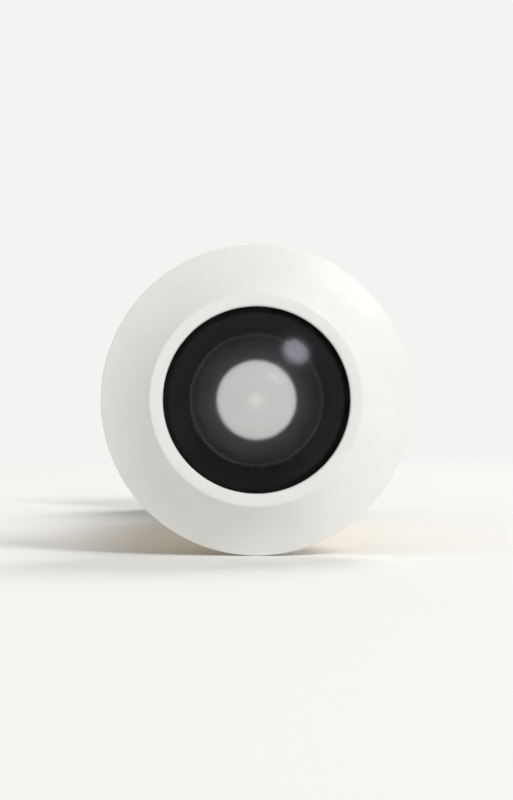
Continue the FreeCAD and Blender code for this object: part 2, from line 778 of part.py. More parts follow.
def cover_flap():
    """Pressed cover: a domed round that shuts the eyepiece, and an ear with an arc notch round the stop pin.

    It is drawn shut, hanging down from its pivot at the body's origin, and then swung open.
    """
    body = new_body("cover_flap")
    round_r = S["cover_diameter"] / 2
    ear_r = S["cover_ear_diameter"] / 2
    drop = S["pivot_height"]
    # Both sides are straight lines that touch the ear and the round.
    sin_lean = (round_r - ear_r) / drop
    cos_lean = (Size(1.0) - sin_lean * sin_lean).root()
    ear_side, ear_height = ear_r * cos_lean, ear_r * sin_lean
    low_side, low_height = round_r * cos_lean, round_r * sin_lean - drop
    # The notch: two radial walls and an arc bottom, as wide as the swing and the pin ask.
    half_pin = math.degrees(math.asin(S["stop_pin_diameter"].number / 2 / S["stop_pin_reach"].number))
    pin_span = f"(asin({S['stop_pin_diameter'].formula} / 2 / {S['stop_pin_reach'].formula}) / (1 deg))"
    half_notch = S["cover_open_angle"] / 2 + Size(half_pin, pin_span) + S["swing_ease_angle"]
    notch_sin = Size(math.sin(math.radians(half_notch.number)), f"sin({half_notch.formula})")
    notch_cos = Size(math.cos(math.radians(half_notch.number)), f"cos({half_notch.formula})")
    corners = [
        (-low_side, low_height, (round_r, False)),
        (ORIGIN, -(drop + round_r), (round_r, False)),
        (low_side, low_height),
        (ear_side, ear_height, (ear_r, False)),
        (ear_r * notch_sin, ear_r * notch_cos),
        (stop_notch_r * notch_sin, stop_notch_r * notch_cos, (stop_notch_r, False)),
        (-(stop_notch_r * notch_sin), stop_notch_r * notch_cos),
        (-(ear_r * notch_sin), ear_r * notch_cos, (ear_r, False)),
        (-ear_side, ear_height),
    ]
    outline = draw_outline(body, "cover_outline", corners, plane="XZ_Plane")
    outline.setExpression("AttachmentOffset.Base.z", (-cover_back).formula)
    plate = body.newObject("PartDesign::Pad", "cover_plate")
    plate.Profile = outline
    plate.setExpression("Length", S["cover_thickness"].formula)
    plate.Reversed = True
    hole = draw_circle(body, "cover_hole", ORIGIN, ORIGIN, S["rivet_diameter"] / 2 + S["running_gap"])
    doc.recompute()
    pocket(body, hole, S["cover_thickness"], cover_back)
    # The dome is a cap of a sphere, turned about the round's own centre line.
    rise = S["cover_dome_height"]
    half = S["cover_dome_diameter"] / 2
    curve = (half * half + rise * rise) / (rise * 2)
    cap = draw_outline(
        body,
        "cover_cap",
        [
            (cover_front + rise, -drop),
            (cover_front - S["cover_thickness"] / 2, -drop),
            (cover_front - S["cover_thickness"] / 2, half - drop),
            (cover_front, half - drop, (curve, False)),
        ],
        plane="YZ_Plane",
    )
    dome = body.newObject("PartDesign::Revolution", "cover_dome")
    dome.Profile = cap
    dome.ReferenceAxis = (cap, ["Edge1"])
    dome.Angle = 360.0
    place(body, S["pivot_height"], -S["cover_open_angle"])
    return body


PIECES = [
    outer_barrel,
    outer_gasket,
    front_lens,
    lens_seal,
    objective_cell,
    second_lens,
    lens_spacer,
    third_lens,
    lens_snap_ring,
    cell_lock_ring,
    rosette_gasket,
    inner_rosette,
    slip_washer,
    inner_barrel,
    field_stop,
    eyepiece_lens,
    eyepiece_retainer,
    pivot_rivet,
    pivot_washer,
    pivot_spring,
    cover_stop_pin,
    cover_flap,
]


def check_document():
    """Stops on any object that FreeCAD could not rebuild."""
    for thing in doc.Objects:
        if "Invalid" in thing.State or "Error" in thing.State:
            raise RuntimeError(f"{thing.Label} failed: {thing.State}")


bodies = [make() for make in PIECES]
doc.recompute()
check_document()
os.makedirs("parts", exist_ok=True)
for body in bodies:
    shape = body.Shape
    if shape.isNull() or not shape.isValid() or len(shape.Solids) != 1:
        raise RuntimeError(f"{body.Label} is not one sound solid")
    shape.exportStep(os.path.join("parts", body.Label + ".step"))
    print(f"{body.Label}: {shape.Volume:.2f} mm3")
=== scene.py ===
import math

import bmesh
import bpy
from mathutils import Matrix, Vector


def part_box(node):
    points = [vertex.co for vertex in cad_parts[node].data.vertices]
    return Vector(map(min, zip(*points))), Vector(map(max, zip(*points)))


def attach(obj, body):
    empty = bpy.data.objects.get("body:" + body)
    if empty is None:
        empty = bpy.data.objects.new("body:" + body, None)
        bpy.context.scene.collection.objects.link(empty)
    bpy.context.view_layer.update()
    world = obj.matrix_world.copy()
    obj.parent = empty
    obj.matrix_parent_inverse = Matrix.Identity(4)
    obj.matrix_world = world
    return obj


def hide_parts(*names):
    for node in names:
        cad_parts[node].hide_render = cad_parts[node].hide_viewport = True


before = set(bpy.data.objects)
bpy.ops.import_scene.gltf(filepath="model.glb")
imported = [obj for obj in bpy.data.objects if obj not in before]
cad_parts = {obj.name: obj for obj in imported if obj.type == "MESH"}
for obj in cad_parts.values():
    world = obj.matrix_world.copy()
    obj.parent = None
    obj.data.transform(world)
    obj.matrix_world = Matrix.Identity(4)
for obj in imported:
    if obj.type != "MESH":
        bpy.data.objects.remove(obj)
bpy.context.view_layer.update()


# Outer barrel: a brass bar turned to a long barrel with a crowned round flange at its outer end. The flange
# is powder coated white, the barrel is left as it comes off the lathe, and the bore is blackened against
# stray light. It is pushed through the door from outside.

MM = 0.001  # all sizes below are millimetres
TURN = 2 * math.pi


def linear(hex_colour):
    """A screen colour such as #F0EFEB as linear red, green, blue and alpha."""
    parts = [int(hex_colour[i : i + 2], 16) / 255 for i in (1, 3, 5)]
    return [p / 12.92 if p <= 0.04045 else ((p + 0.055) / 1.055) ** 2.4 for p in parts] + [1.0]


def add(tree, kind, inputs={}, **settings):
    """Adds a node to a tree with its settings, and with a value or a link at each named input."""
    node = tree.nodes.new(kind)
    for name, value in settings.items():
        setattr(node, name, value)
    for key, value in inputs.items():
        if isinstance(value, bpy.types.NodeSocket):
            tree.links.new(value, node.inputs[key])
        else:
            node.inputs[key].default_value = value
    return node


def new_finish(name):
    """A new material: itself, its tree, its main shader and the piece's own coordinates in millimetres."""
    material = bpy.data.materials.new(name)
    material.use_nodes = True
    tree = material.node_tree
    shader = tree.nodes["Principled BSDF"]
    coordinates = add(tree, "ShaderNodeTexCoord")
    in_mm = add(tree, "ShaderNodeMapping", {"Vector": coordinates.outputs["Object"], "Scale": (1 / MM,) * 3})
    return material, tree, shader, in_mm.outputs["Vector"]


def speckle(tree, place, grain, detail=2.0, squeeze=(1, 1, 1)):
    """Noise whose grain is that many millimetres wide, pressed together along each axis by squeeze."""
    pressed = add(tree, "ShaderNodeMapping", {"Vector": place, "Scale": squeeze})
    settings = {"Vector": pressed.outputs[0], "Scale": 1 / grain, "Detail": detail}
    return add(tree, "ShaderNodeTexNoise", settings).outputs["Fac"]


def spread(tree, fac, low, high):
    """A number that runs from low to high with the noise."""
    ends = {"From Min": 0.3, "From Max": 0.7, "To Min": low, "To Max": high}
    return add(tree, "ShaderNodeMapRange", {"Value": fac, **ends}).outputs["Result"]


def tint(tree, fac, first, second):
    """A colour between two hex colours."""
    mix = add(tree, "ShaderNodeMix", data_type="RGBA")
    tree.links.new(fac, mix.inputs[0])
    mix.inputs[6].default_value = linear(first)
    mix.inputs[7].default_value = linear(second)
    return mix.outputs[2]


def roughen(tree, shader, height, depth):
    """Bump of that many millimetres, on top of any bump that the shader has."""
    bump = add(tree, "ShaderNodeBump", {"Height": height, "Strength": 1.0, "Distance": depth * MM})
    if shader.inputs["Normal"].links:
        tree.links.new(shader.inputs["Normal"].links[0].from_socket, bump.inputs["Normal"])
    tree.links.new(bump.outputs["Normal"], shader.inputs["Normal"])


def round_marks(tree, place, grain, detail=1.0):
    """Noise that is the same all round the optical axis, as a lathe tool leaves it."""
    across = add(tree, "ShaderNodeVectorMath", {0: place, 1: (1, 0, 1)}, operation="MULTIPLY")
    radius = add(tree, "ShaderNodeVectorMath", {0: across.outputs[0]}, operation="LENGTH")
    parts = add(tree, "ShaderNodeSeparateXYZ", {0: place})
    profile = add(tree, "ShaderNodeCombineXYZ", {"X": radius.outputs["Value"], "Y": parts.outputs["Y"]})
    return speckle(tree, profile.outputs[0], grain, detail)


def powder_coat():
    """White polyester powder, baked on: semi-gloss with a shallow orange peel, a little uneven in tone."""
    material, tree, shader, place = new_finish("white powder coat")
    tree.links.new(
        tint(tree, speckle(tree, place, 3.0), "#F2F1EE", "#E9E8E3"), shader.inputs["Base Color"]
    )
    tree.links.new(
        spread(tree, speckle(tree, place, 1.2, 3.0), 0.34, 0.46), shader.inputs["Roughness"]
    )
    roughen(tree, shader, speckle(tree, place, 0.5, 1.0), 0.011)
    roughen(tree, shader, speckle(tree, place, 0.12, 1.0), 0.0012)
    return material


def turned_brass():
    """Free-cutting brass straight off the lathe: fine tool marks round it, tone shifted by handling."""
    material, tree, shader, place = new_finish("turned brass")
    shader.inputs["Metallic"].default_value = 1.0
    tree.links.new(
        tint(tree, speckle(tree, place, 5.0, 2.0), "#E2C68A", "#D6B878"), shader.inputs["Base Color"]
    )
    # The tool's feed is about 0.08 mm a turn, drawn at 0.25 mm so that it shows.
    tree.links.new(
        spread(tree, round_marks(tree, place, 0.25), 0.2, 0.32), shader.inputs["Roughness"]
    )
    roughen(tree, shader, round_marks(tree, place, 0.25), 0.0025)
    return material


def bore_black():
    """Chemically blackened brass: dead matt, nearly colourless."""
    material, tree, shader, place = new_finish("blackened bore")
    tree.links.new(
        tint(tree, speckle(tree, place, 0.8, 3.0), "#0B0B0B", "#141312"), shader.inputs["Base Color"]
    )
    shader.inputs["Roughness"].default_value = 0.75
    roughen(tree, shader, speckle(tree, place, 0.2, 1.0), 0.004)
    return material


def arc(start, end, radius, steps=12):
    """Points between start and end on an arc. A positive radius bulges to the left on the way."""
    start, end = Vector(start), Vector(end)
    chord = end - start
    left = Vector((-chord.y, chord.x)).normalized() * math.copysign(1, radius)
    centre = (start + end) / 2 - left * math.sqrt(radius**2 - (chord.length / 2) ** 2)
    first, last = start - centre, end - centre
    swing = first.angle_signed(last)
    points = []
    for step in range(1, steps):
        turned_by = -swing * step / steps
        cos, sin = math.cos(turned_by), math.sin(turned_by)
        points.append(
            tuple(centre + Vector((first.x * cos - first.y * sin, first.x * sin + first.y * cos)))
        )
    return points


def softened(outline, steps=4):
    """Rounds the corners of a closed outline. A point is (radius, along, edge radius, finish)."""
    result = []
    count = len(outline)
    for index, (radius, along, edge, finish) in enumerate(outline):
        here = Vector((radius, along))
        before = Vector(outline[index - 1][:2]) - here
        after = Vector(outline[(index + 1) % count][:2]) - here
        if not edge:
            result.append((radius, along, finish))
            continue
        reach = edge / math.tan(before.angle(after) / 2)
        start = here + before.normalized() * reach
        end = here + after.normalized() * reach
        for step in range(steps + 1):
            t = step / steps
            point = start * (1 - t) ** 2 + here * 2 * t * (1 - t) + end * t**2
            result.append((point.x, point.y, outline[index - 1][3] if t < 0.5 else finish))
    return result


def as_points(run, finish=0, edge=0.0):
    """Gives every plain (radius, along) point of a run its edge radius and finish."""
    return [(radius, along, edge, finish) for radius, along in run]


def turned(name, outline, finishes, columns=192):
    """A piece turned about the optical axis from its closed outline, in millimetres."""
    mesh = bpy.data.meshes.new(name)
    bm = bmesh.new()
    rows = []
    points = softened(outline)
    for radius, along, _ in points:
        if radius < 1e-6:
            rows.append([bm.verts.new((0, along * MM, 0))] * columns)
            continue
        row = []
        for column in range(columns):
            angle = TURN * column / columns
            row.append(
                bm.verts.new((radius * math.cos(angle) * MM, along * MM, radius * math.sin(angle) * MM))
            )
        rows.append(row)
    for index, row in enumerate(rows):
        other = rows[(index + 1) % len(rows)]
        for column in range(columns):
            after = (column + 1) % columns
            corners = [row[column], row[after], other[after], other[column]]
            corners = [c for i, c in enumerate(corners) if c is not corners[i - 1]]
            if len(corners) > 2:
                bm.faces.new(corners).material_index = points[index][2]
    bmesh.ops.recalc_face_normals(bm, faces=bm.faces)
    bm.to_mesh(mesh)
    bm.free()
    for finish in finishes:
        mesh.materials.append(finish)
    smooth(mesh)
    piece = bpy.data.objects.new(name, mesh)
    bpy.context.scene.collection.objects.link(piece)
    return piece


def smooth(mesh, crease=28):
    """Shades a mesh smooth, except over edges that turn by more than crease degrees."""
    mesh.polygons.foreach_set("use_smooth", [True] * len(mesh.polygons))
    mesh.set_sharp_from_angle(angle=math.radians(crease))


def stands_for(piece, node, body):
    """Puts a finished piece on its body, in place of its plain solid."""
    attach(piece, body)
    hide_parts(node)
    return piece


def extent(node, axis="y"):
    """Lowest and highest coordinate of a solid along an axis, in millimetres."""
    low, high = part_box(node)
    index = "xyz".index(axis)
    return low[index] / MM, high[index] / MM


def ridge_tree():
    """Geometry nodes that wind a thread's ridge about the optical axis and taper it out at both ends."""
    tree = bpy.data.node_groups.new("thread ridge", "GeometryNodeTree")
    face = tree.interface
    face.new_socket("Geometry", in_out="OUTPUT", socket_type="NodeSocketGeometry")
    across = ["Wall radius", "Outward", "Height", "Foot width", "Crest width"]
    along = ["Pitch", "Start", "Length", "Run-out"]
    for name in across + along:
        face.new_socket(name, in_out="INPUT", socket_type="NodeSocketFloat")
    face.new_socket("Steps a turn", in_out="INPUT", socket_type="NodeSocketInt")
    face.new_socket("Finish", in_out="INPUT", socket_type="NodeSocketMaterial")
    sizes = add(tree, "NodeGroupInput").outputs
    turns = add(tree, "ShaderNodeMath", {0: sizes["Length"], 1: sizes["Pitch"]}, operation="DIVIDE")
    path = add(
        tree,
        "GeometryNodeCurveSpiral",
        {
            "Resolution": sizes["Steps a turn"],
            "Rotations": turns.outputs[0],
            "Start Radius": sizes["Wall radius"],
            "End Radius": sizes["Wall radius"],
            "Height": sizes["Length"],
            "Reverse": True,
        },
    )
    upright = add(tree, "GeometryNodeSetCurveNormal", {"Curve": path.outputs[0]}, mode="Z_UP")
    place = add(tree, "GeometryNodeSplineParameter").outputs["Length"]
    whole = add(tree, "GeometryNodeCurveLength", {"Curve": path.outputs[0]}).outputs[0]
    left = add(tree, "ShaderNodeMath", {0: whole, 1: place}, operation="SUBTRACT")
    nearest = add(tree, "ShaderNodeMath", {0: place, 1: left.outputs[0]}, operation="MINIMUM")
    grown = add(tree, "ShaderNodeMath", {0: nearest.outputs[0], 1: sizes["Run-out"]}, operation="DIVIDE")
    grown.use_clamp = True
    tapered = add(
        tree, "GeometryNodeSetCurveRadius", {"Curve": upright.outputs[0], "Radius": grown.outputs[0]}
    )
    section = add(
        tree,
        "GeometryNodeCurvePrimitiveQuadrilateral",
        {
            "Height": sizes["Height"],
            "Bottom Width": sizes["Foot width"],
            "Top Width": sizes["Crest width"],
            "Offset": 0.0,
        },
        mode="TRAPEZOID",
    )
    half = add(tree, "ShaderNodeMath", {0: sizes["Height"], 1: 2.0}, operation="DIVIDE")
    lift = add(tree, "ShaderNodeCombineXYZ", {"Y": half.outputs[0]})
    lifted = add(
        tree, "GeometryNodeTransform", {"Geometry": section.outputs[0], "Translation": lift.outputs[0]}
    )
    side = add(tree, "ShaderNodeCombineXYZ", {"X": 1.0, "Y": sizes["Outward"], "Z": 1.0})
    aimed = add(
        tree,
        "GeometryNodeTransform",
        {"Geometry": lifted.outputs[0], "Rotation": (0, 0, -TURN / 4), "Scale": side.outputs[0]},
    )
    ridge = add(
        tree,
        "GeometryNodeCurveToMesh",
        {"Curve": tapered.outputs[0], "Profile Curve": aimed.outputs[0], "Fill Caps": True},
    )
    start = add(tree, "ShaderNodeCombineXYZ", {"Y": sizes["Start"]})
    laid = add(
        tree,
        "GeometryNodeTransform",
        {"Geometry": ridge.outputs[0], "Rotation": (-TURN / 4, 0, 0), "Translation": start.outputs[0]},
    )
    real = add(tree, "GeometryNodeRealizeInstances", {"Geometry": laid.outputs[0]})
    coated = add(
        tree, "GeometryNodeSetMaterial", {"Geometry": real.outputs[0], "Material": sizes["Finish"]}
    )
    add(tree, "NodeGroupOutput", {0: coated.outputs[0]})
    return tree


def run_tree(piece, tree, sizes):
    """Runs a geometry tree on a piece with the named sizes, and keeps the result as a plain mesh."""
    modifier = piece.modifiers.new(tree.name, "NODES")
    modifier.node_group = tree
    for item in tree.interface.items_tree:
        if item.in_out == "INPUT" and item.name in sizes:
            modifier[item.identifier] = sizes[item.name]
    result = piece.evaluated_get(bpy.context.evaluated_depsgraph_get())
    mesh = bpy.data.meshes.new_from_object(result)
    piece.modifiers.clear()
    mesh.name = piece.name
    piece.data = mesh
    return piece


def join_into(piece, other):
    """Adds another object's mesh to a piece, finish and all, and removes that object."""
    names = [material.name for material in piece.data.materials]
    finish = names.index(other.data.materials[0].name)
    bm = bmesh.new()
    bm.from_mesh(other.data)
    for face in bm.faces:
        face.material_index = finish
    bmesh.ops.recalc_face_normals(bm, faces=bm.faces)
    bm.from_mesh(piece.data)
    bm.to_mesh(piece.data)
    bm.free()
    bpy.data.objects.remove(other)
    smooth(piece.data)


RIDGE = ridge_tree()
PITCH = 1.5
RIDGE_DEPTH = 0.6
CREST = 0.35
FOOT = 1.1
SUNK = 0.05
RUN_OUT = 6.0
THREAD_END = 1.35


def cut_thread(piece, wall, crest, start, length, finish):
    """Winds a thread's ridge on a piece, from its wall radius to its crest radius, inwards or outwards."""
    ridge = bpy.data.objects.new("ridge", bpy.data.meshes.new("ridge"))
    bpy.context.scene.collection.objects.link(ridge)
    outward = math.copysign(1.0, crest - wall)
    sizes = {
        "Outward": outward,
        "Wall radius": (wall - outward * SUNK) * MM,
        "Height": (RIDGE_DEPTH + SUNK) * MM,
        "Foot width": FOOT * MM,
        "Crest width": CREST * MM,
        "Pitch": PITCH * MM,
        "Start": start * MM,
        "Length": length * MM,
        "Run-out": RUN_OUT * MM,
        "Steps a turn": 96,
        "Finish": finish,
    }
    run_tree(ridge, RIDGE, sizes)
    join_into(piece, ridge)


WHITE = powder_coat()
BRASS = turned_brass()
BORE_BLACK = bore_black()

flange_r = extent("outer_barrel", "x")[1]
lip_front, barrel_end = extent("outer_barrel")
flange_back = extent("outer_gasket")[0]
seal_back = extent("lens_seal")[1]
lock_end = extent("cell_lock_ring")[1]
tube_front = extent("inner_barrel")[0]
lens_r = extent("front_lens", "x")[1]
cell_r = extent("objective_cell", "x")[1]
barrel_r = 7.0
rim = 0.9
crown = 9.0
lip_land = 0.9
opening_r = 6.5
lip = 0.45
seat_gap = 0.05
shoulder = 0.6
nose_hole_r = 4.6
relief_r = 6.15
nut_wall_r = 6.1
nut_crest_r = nut_wall_r - RIDGE_DEPTH
nut_length = 12.0
turns_to_nut = 4
relief_taper = 3.0
knee = (flange_r, flange_back - rim)
brow = (opening_r + lip_land, lip_front)

outline = [(*knee, 0.12, 0)]
outline += as_points(arc(knee, brow, -crown, 24))
outline += [
    (*brow, 0.25, 0),
    (opening_r, lip_front, 0.16, 0),
    (opening_r, lip_front + lip, 0.0, 2),
    (lens_r + seat_gap, lip_front + lip, 0.0, 2),
    (lens_r + seat_gap, seal_back, 0.0, 2),
    (nose_hole_r, seal_back, 0.0, 2),
    (nose_hole_r, seal_back + shoulder, 0.0, 2),
    (cell_r + seat_gap, seal_back + shoulder, 0.0, 2),
    (cell_r + seat_gap, lock_end, 0.0, 2),
    (relief_r, lock_end + relief_taper, 0.0, 2),
    (relief_r, barrel_end - nut_length, 0.0, 2),
    (nut_wall_r, barrel_end - nut_length, 0.0, 1),
    (nut_wall_r, barrel_end, 0.1, 1),
    (barrel_r, barrel_end, 0.3, 1),
    (barrel_r, flange_back, 0.0, 0),
    (flange_r, flange_back, 0.12, 0),
]
outer_barrel = turned("outer_barrel_finished", outline, [WHITE, BRASS, BORE_BLACK])
# The nut's ridge lies half a pitch from the other barrel's, so that each runs in the middle of the other's
# groove.
nut_start = tube_front + THREAD_END + (turns_to_nut + 0.5) * PITCH
cut_thread(outer_barrel, nut_wall_r, nut_crest_r, nut_start, barrel_end - THREAD_END - nut_start, BRASS)
stands_for(outer_barrel, "outer_barrel", "outer_unit")


# Outer gasket: a ring of black rubber, stamped from sheet. It lies loose between the flange and the door and
# keeps rain out of the hole.


def rubber():
    """Black EPDM sheet: matt, with the fine grain of its mould and a bloom that greys it slightly."""
    material, tree, shader, place = new_finish("black rubber sheet")
    tree.links.new(
        tint(tree, speckle(tree, place, 1.8, 4.0), "#161616", "#222221"), shader.inputs["Base Color"]
    )
    tree.links.new(
        spread(tree, speckle(tree, place, 0.9, 3.0), 0.62, 0.8), shader.inputs["Roughness"]
    )
    roughen(tree, shader, speckle(tree, place, 0.18, 2.0), 0.01)
    return material


RUBBER = rubber()


def washer(name, node, hole_r, edge, finish, body):
    """A flat ring with softened edges in place of a plain one, with the solid's own width and thickness."""
    outer = extent(node, "x")[1]
    start, end = extent(node)
    outline = [
        (hole_r, start, edge, 0),
        (outer, start, edge, 0),
        (outer, end, edge, 0),
        (hole_r, end, edge, 0),
    ]
    return stands_for(turned(name, outline, [finish]), node, body)


hole_r = barrel_r + seat_gap
washer("outer_gasket_finished", "outer_gasket", hole_r, 0.14, RUBBER, "outer_unit")


# Front lens: ground and polished optical glass, domed outside and deeply hollow inside. It is dropped into
# the flange from behind and held by the rolled lip.


def optical_glass(name, mirror=0.0, haze=0.17):
    """Crown glass with an anti-glare coating: clear, a weak and soft reflection, faint smears from wiping."""
    material, tree, shader, place = new_finish(name)
    shader.inputs["Base Color"].default_value = linear("#FDFDFD")
    shader.inputs["Transmission Weight"].default_value = 1.0
    shader.inputs["IOR"].default_value = 1.517
    shader.inputs["Specular Tint"].default_value = linear("#999BA3")
    shader.inputs["Metallic"].default_value = mirror
    tree.links.new(
        spread(tree, speckle(tree, place, 2.5, 4.0), 0.85 * haze, haze), shader.inputs["Roughness"]
    )
    return material


GLASS = optical_glass("coated crown glass")

lens_back = extent("front_lens")[1]
lens_top = extent("front_lens")[0]
dome_r = opening_r - seat_gap
dome_radius = 10.0
hollow_radius = 5.2
lens_shoulder = lip_front + lip
hollow_top = lens_back - (hollow_radius - math.sqrt(hollow_radius**2 - nose_hole_r**2))

dome = arc((dome_r, lens_shoulder), (0, lens_top), dome_radius, 48)
hollow = arc((0, hollow_top), (nose_hole_r, lens_back), -hollow_radius, 48)
outline = [(0, hollow_top, 0.0, 0)]
outline += as_points(hollow)
outline += [
    (nose_hole_r, lens_back, 0.0, 0),
    (lens_r, lens_back, 0.1, 0),
    (lens_r, lens_shoulder, 0.1, 0),
    (dome_r, lens_shoulder, 0.0, 0),
]
outline += as_points(dome)
outline += [(0, lens_top, 0.0, 0)]
front_lens = turned("front_lens_finished", outline, [GLASS], 256)
stands_for(front_lens, "front_lens", "outer_unit")


# Lens seal: a soft black ring that the front lens is pressed on. With the cell's black nose it makes the dark
# ring that shows round the clear centre of the viewer.

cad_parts["lens_seal"].data.materials[0] = RUBBER


# Lens cell: a sleeve moulded from black plastic, with a conical nose. It holds the two small lenses, a spacer
# and an open spring ring, and drops into the bore behind the front lens.


def moulded_black():
    """Glass-filled polyamide: black, matt from the eroded mould."""
    material, tree, shader, place = new_finish("moulded black polyamide")
    tree.links.new(
        tint(tree, speckle(tree, place, 1.0, 3.0), "#0D0D0E", "#151516"), shader.inputs["Base Color"]
    )
    tree.links.new(
        spread(tree, speckle(tree, place, 0.5, 2.0), 0.5, 0.65), shader.inputs["Roughness"]
    )
    roughen(tree, shader, speckle(tree, place, 0.14, 2.0), 0.006)
    return material


def spring_steel():
    """Hardened steel wire and sheet: cool grey, fine brushed marks, a trace of oil."""
    material, tree, shader, place = new_finish("spring steel")
    shader.inputs["Metallic"].default_value = 1.0
    tree.links.new(
        tint(tree, speckle(tree, place, 0.9, 3.0), "#B2B1AF", "#9F9E9C"), shader.inputs["Base Color"]
    )
    tree.links.new(
        spread(tree, speckle(tree, place, 0.3, 2.0), 0.22, 0.3), shader.inputs["Roughness"]
    )
    roughen(tree, shader, speckle(tree, place, 0.15, 1.0, (0.2, 1, 0.2)), 0.002)
    return material


def blackened_brass():
    """Brass ring with a thin chemical black that has rubbed off in places."""
    material, tree, shader, place = new_finish("blackened brass")
    tree.links.new(
        tint(tree, speckle(tree, place, 0.7, 4.0), "#171615", "#262320"), shader.inputs["Base Color"]
    )
    shader.inputs["Metallic"].default_value = 0.4
    tree.links.new(
        spread(tree, speckle(tree, place, 0.4, 3.0), 0.4, 0.55), shader.inputs["Roughness"]
    )
    roughen(tree, shader, speckle(tree, place, 0.2, 1.0, (0.05, 1, 0.05)), 0.003)
    return material


MOULDED = moulded_black()
STEEL = spring_steel()
RING_BLACK = blackened_brass()
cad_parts["objective_cell"].data.materials[0] = MOULDED
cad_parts["lens_spacer"].data.materials[0] = MOULDED
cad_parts["lens_snap_ring"].data.materials[0] = STEEL
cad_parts["cell_lock_ring"].data.materials[0] = RING_BLACK

# The middle of the second lens's flat front has a thin silver film, so that nobody can look in from outside.
# It shows as the pale disc inside the black ring.
HALF_MIRROR = optical_glass("half-silvered crown glass", 0.66, 0.24)

film_r = 3.35
small_r = extent("second_lens", "x")[1]
second_front, second_back = extent("second_lens")
third_front, third_back = extent("third_lens")
second_land = 0.8
second_depth = 1.7
third_land = 1.0
third_radius = 11.0

mouth = small_r - second_land
curve = (mouth**2 + second_depth**2) / (2 * second_depth)
outline = [
    (0, second_front, 0.0, 1),
    (film_r, second_front, 0.0, 0),
    (small_r, second_front, 0.08, 0),
    (small_r, second_back, 0.08, 0),
    (mouth, second_back, 0.0, 0),
]
outline += as_points(arc((mouth, second_back), (0, second_back - second_depth), curve, 40))
outline += [(0, second_back - second_depth, 0.0, 0)]
second_lens = turned("second_lens_finished", outline, [GLASS, HALF_MIRROR])
stands_for(second_lens, "second_lens", "outer_unit")

mouth = small_r - third_land
depth = third_radius - math.sqrt(third_radius**2 - mouth**2)
outline = [(0, third_front + depth, 0.0, 0)]
outline += as_points(arc((0, third_front + depth), (mouth, third_front), third_radius, 32))
outline += [
    (mouth, third_front, 0.0, 0),
    (small_r, third_front, 0.08, 0),
    (small_r, third_back, 0.08, 0),
    (mouth, third_back, 0.0, 0),
]
outline += as_points(arc((mouth, third_back), (0, third_back - depth), third_radius, 32))
outline += [(0, third_back - depth, 0.0, 0)]
third_lens = turned("third_lens_finished", outline, [GLASS])
stands_for(third_lens, "third_lens", "outer_unit")


# Rosette: a pressed steel ring, powder coated white like the flange, with its own rubber ring towards the
# door and a slippery nylon ring towards the knurled flange, so that it stays still while the eyepiece is
# screwed in.


def nylon():
    """Natural nylon: cream, waxy, lets a little light in."""
    material, tree, shader, place = new_finish("natural nylon")
    tree.links.new(
        tint(tree, speckle(tree, place, 2.0, 2.0), "#ECE8DC", "#E2DDCE"), shader.inputs["Base Color"]
    )
    shader.inputs["Roughness"].default_value = 0.42
    shader.inputs["Subsurface Weight"].default_value = 0.15
    shader.inputs["Subsurface Scale"].default_value = 0.5 * MM
    roughen(tree, shader, speckle(tree, place, 0.2, 1.0), 0.003)
    return material


NYLON = nylon()
shank_hole_r = 7.0
rosette_slope = 1.5
rosette_rim = 0.7

for node, edge, finish, slot in (
    ("rosette_gasket", 0.14, RUBBER, "gasket_rubber"),
    ("slip_washer", 0.1, NYLON, "nylon"),
):
    washer(node + "_finished", node, shank_hole_r, edge, finish, "rosette_unit")

rosette_r = extent("inner_rosette", "x")[1]
rosette_back, rosette_front = extent("inner_rosette")
outline = [
    (shank_hole_r, rosette_back, 0.1, 0),
    (rosette_r, rosette_back, 0.12, 0),
    (rosette_r, rosette_back + rosette_rim, 0.3, 0),
    (rosette_r - rosette_slope, rosette_front, 0.6, 0),
    (shank_hole_r, rosette_front, 0.1, 0),
]
rosette = turned("inner_rosette_finished", outline, [WHITE])
stands_for(rosette, "inner_rosette", "rosette_unit")


# Inner barrel: brass, turned in one piece with its knurled flange, then nickel plated and satin finished. The
# light tube through it is polished bright. It screws into the outer barrel with a coin in its two slots.


def satin_nickel():
    """Satin nickel plate on brass: warm grey, fine turning marks, a little uneven in tone."""
    material, tree, shader, place = new_finish("satin nickel plate")
    shader.inputs["Metallic"].default_value = 1.0
    tree.links.new(
        tint(tree, speckle(tree, place, 4.0, 2.0), "#BFBAB0", "#B3ADA2"), shader.inputs["Base Color"]
    )
    # Satin brushing is finer than 0.05 mm, drawn at 0.2 mm so that it shows.
    tree.links.new(
        spread(tree, round_marks(tree, place, 0.2), 0.26, 0.36), shader.inputs["Roughness"]
    )
    roughen(tree, shader, round_marks(tree, place, 0.2, 2.0), 0.005)
    return material


def polished_bore():
    """The same nickel, polished bright inside so that the tube carries light to the eye."""
    material, tree, shader, place = new_finish("polished nickel bore")
    shader.inputs["Metallic"].default_value = 1.0
    tree.links.new(
        tint(tree, speckle(tree, place, 3.0), "#F4F0E8", "#ECE7DD"), shader.inputs["Base Color"]
    )
    shader.inputs["Roughness"].default_value = 0.12
    return material


